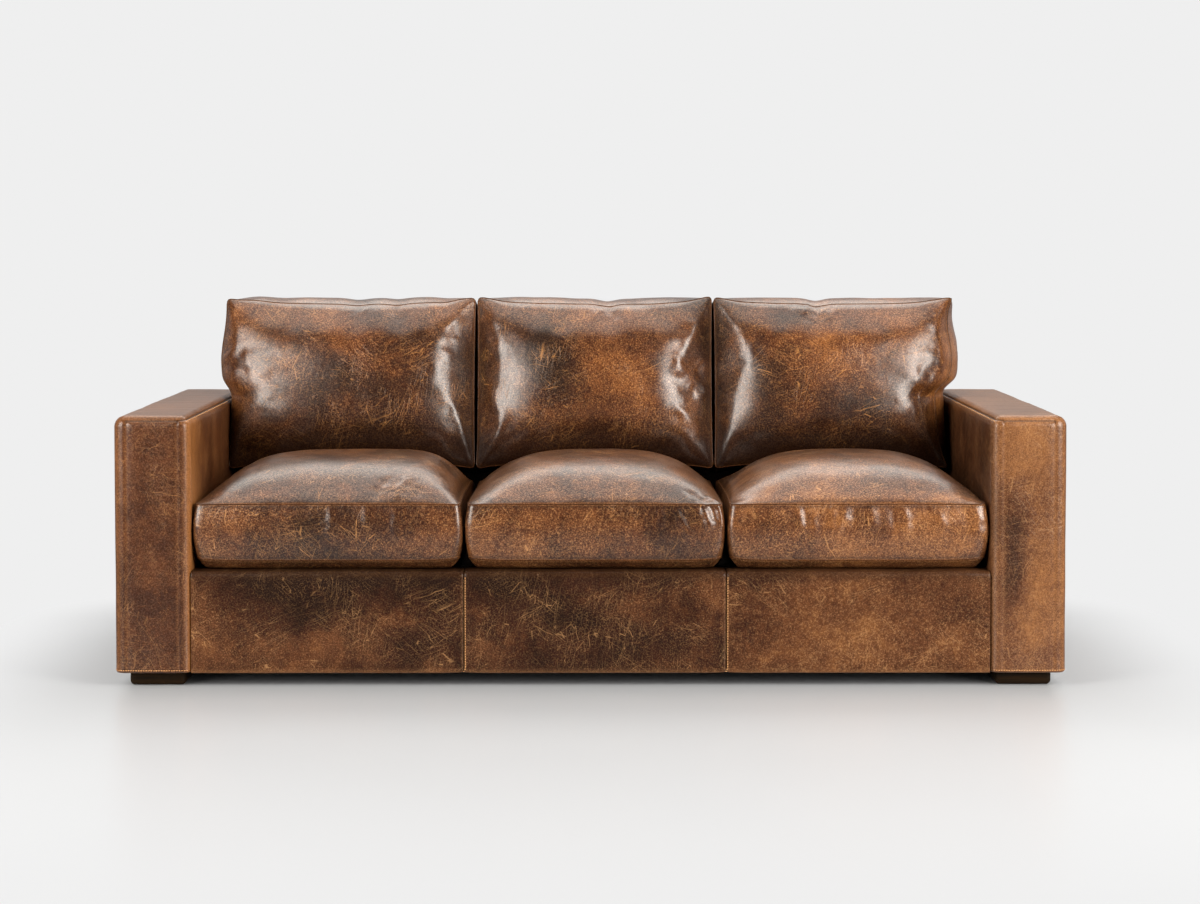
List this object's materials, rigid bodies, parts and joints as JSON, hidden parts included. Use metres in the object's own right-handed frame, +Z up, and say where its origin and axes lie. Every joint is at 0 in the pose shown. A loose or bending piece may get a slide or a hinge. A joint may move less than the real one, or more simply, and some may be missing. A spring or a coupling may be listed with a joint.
{
  "type": "leather sofa",
  "caption": "Worn brown leather sofa with loose box seat cushions, loose leaning back cushions, square track arms and low block feet.",
  "frame": {"origin": "on the floor, under the middle of the sofa's bounding box", "axes": "+X along the sofa's length towards the sitter's left, -Y out of the front of the sofa, +Z up"},
  "size_m": [2.24, 0.96, 0.8935],
  "materials": {
    "leather": "worn, semi-gloss pull-up leather, mottled, with fine tan crackle and scratches",
    "cushion_leather": "worn, semi-gloss pull-up leather, creased and polished by use, tan stitching",
    "timber": "sawn softwood, unfinished",
    "plywood": "plywood, unfinished",
    "foot_wood": "hardwood, very dark stain, satin, scuffed",
    "foam": "cut upholstery foam",
    "webbing": "woven elastic webbing",
    "dust_cover": "non-woven black cambric"
  },
  "bodies": {
    "root": {"arm_front_board_left": "plywood", "arm_front_board_right": "plywood", "arm_front_leather_left": "leather", "arm_front_leather_right": "leather", "arm_inner_board_left": "plywood", "arm_inner_board_right": "plywood", "arm_inside_leather_left": "leather", "arm_inside_leather_right": "leather", "arm_outer_board_left": "plywood", "arm_outer_board_right": "plywood", "arm_padding_left": "foam", "arm_padding_right": "foam", "arm_rear_board_left": "plywood", "arm_rear_board_right": "plywood", "arm_sill_left": "plywood", "arm_sill_right": "plywood", "arm_top_board_left": "plywood", "arm_top_board_right": "plywood", "arm_wrap_leather_left": "leather", "arm_wrap_leather_right": "leather", "back_cushion_left": "cushion_leather", "back_cushion_middle": "cushion_leather", "back_cushion_right": "cushion_leather", "back_inside_cover": "leather", "back_lower_rail": "timber", "back_outside_leather": "leather", "back_padding": "foam", "back_post_centre": "timber", "back_post_left": "timber", "back_post_right": "timber", "back_top_rail": "timber", "base_leather_left": "leather", "base_leather_middle": "leather", "base_leather_right": "leather", "deck_pad": "foam", "dust_cover": "dust_cover", "foot_front_left": "foot_wood", "foot_front_right": "foot_wood", "foot_rear_left": "foot_wood", "foot_rear_right": "foot_wood", "front_rail": "timber", "seat_back_rail": "timber", "seat_cushion_left": "cushion_leather", "seat_cushion_middle": "cushion_leather", "seat_cushion_right": "cushion_leather", "seat_stretcher_1": "timber", "seat_stretcher_2": "timber", "seat_webbing_01": "webbing", "seat_webbing_02": "webbing", "seat_webbing_03": "webbing", "seat_webbing_04": "webbing", "seat_webbing_05": "webbing", "seat_webbing_06": "webbing", "seat_webbing_07": "webbing", "seat_webbing_08": "webbing", "seat_webbing_09": "webbing", "seat_webbing_10": "webbing", "side_rail_left": "timber", "side_rail_right": "timber"}
  },
  "joints": []
}
